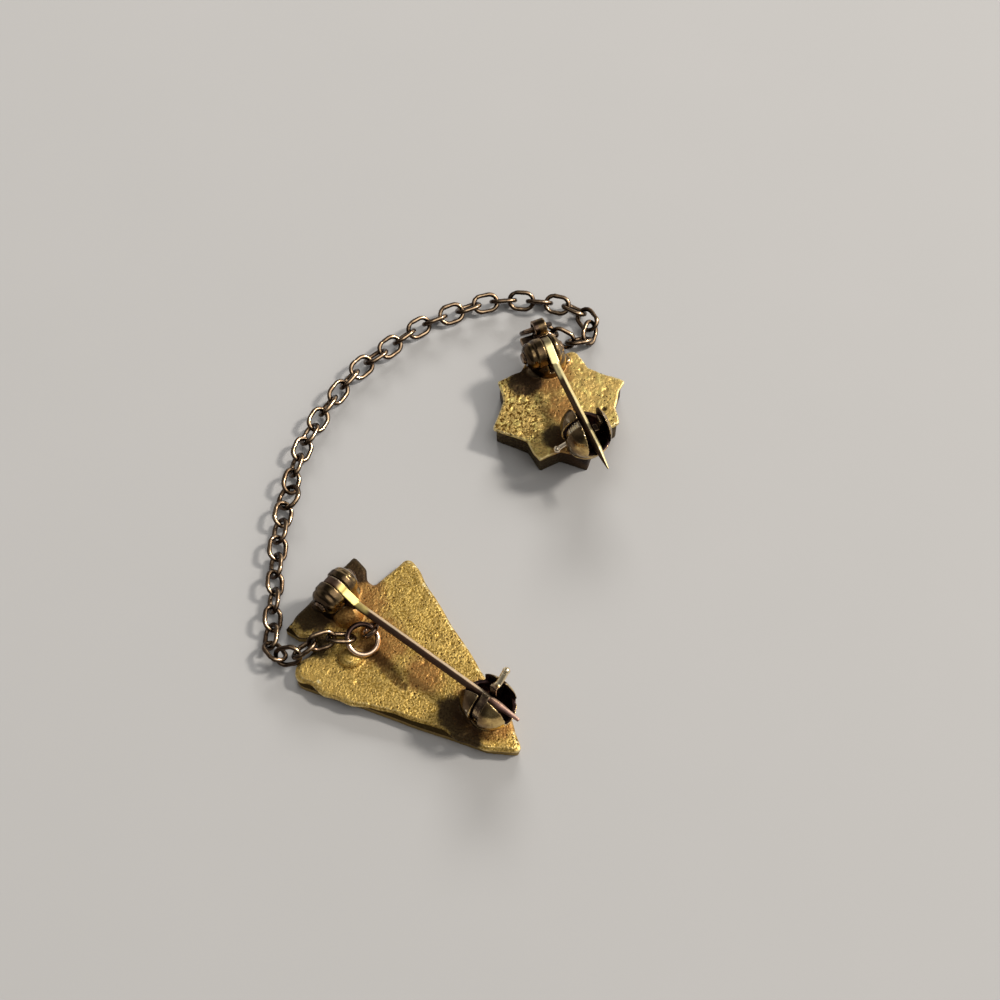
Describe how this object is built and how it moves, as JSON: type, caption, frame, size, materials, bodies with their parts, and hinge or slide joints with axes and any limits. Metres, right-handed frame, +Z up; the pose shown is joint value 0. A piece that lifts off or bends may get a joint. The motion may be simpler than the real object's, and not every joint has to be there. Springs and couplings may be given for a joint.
{
  "type": "fraternity badge pin with chained guard pin",
  "caption": "Kite-shaped fraternity badge and star-shaped guard pin on a fine cable chain, each with a hinged pin stem and a turning safety catch on its back.",
  "frame": {"origin": "middle of the laid-out jewel's box in plan, on the surface that both plates lie face down on", "axes": "+Z up from the surface through the plates' plain backs; +Y towards the guard pin, away from the picture's camera; +X to the right in the picture"},
  "size_m": [0.0266, 0.0389, 0.0057],
  "materials": {
    "gold_back": "sandy, pitted yellow gold, tarnished brown towards the joints",
    "gold_pin": "smooth worn yellow-pink gold with brown tarnish",
    "dark_findings": "tarnished bronze brown, worn bright on edges",
    "chain": "antique bronze, polished by wear"
  },
  "bodies": {
    "root": {"badge": "gold_back", "badge_rivet": "dark_findings", "badge_ring": "chain", "guard": "gold_back", "guard_rivet": "dark_findings", "guard_ring": "chain", "guard_chain": "chain"},
    "badge_pin": {"badge_pin": "gold_pin"},
    "badge_collar": {"badge_collar": "dark_findings"},
    "guard_pin": {"guard_pin": "gold_pin"},
    "guard_collar": {"guard_collar": "dark_findings"}
  },
  "joints": [
    {"name": "badge_pin_hinge", "type": "hinge", "parent": "root", "child": "badge_pin", "pos_m": [-0.00788, -0.00791, 0.0032], "axis": [-0.6101, -0.7923, 0], "range_deg": [0, 100]},
    {"name": "badge_collar_turn", "type": "hinge", "parent": "root", "child": "badge_collar", "pos_m": [0.00305, -0.01658, 0.003], "axis": [0.7923, -0.6101, 0], "range_deg": [0, 150]},
    {"name": "guard_pin_hinge", "type": "hinge", "parent": "root", "child": "guard_pin", "pos_m": [0.00749, 0.01217, 0.0038], "axis": [-0.9245, -0.3811, 0], "range_deg": [0, 100]},
    {"name": "guard_collar_turn", "type": "hinge", "parent": "root", "child": "guard_collar", "pos_m": [0.01028, 0.00489, 0.004], "axis": [0.3811, -0.9245, 0], "range_deg": [-100, 0]}
  ]
}
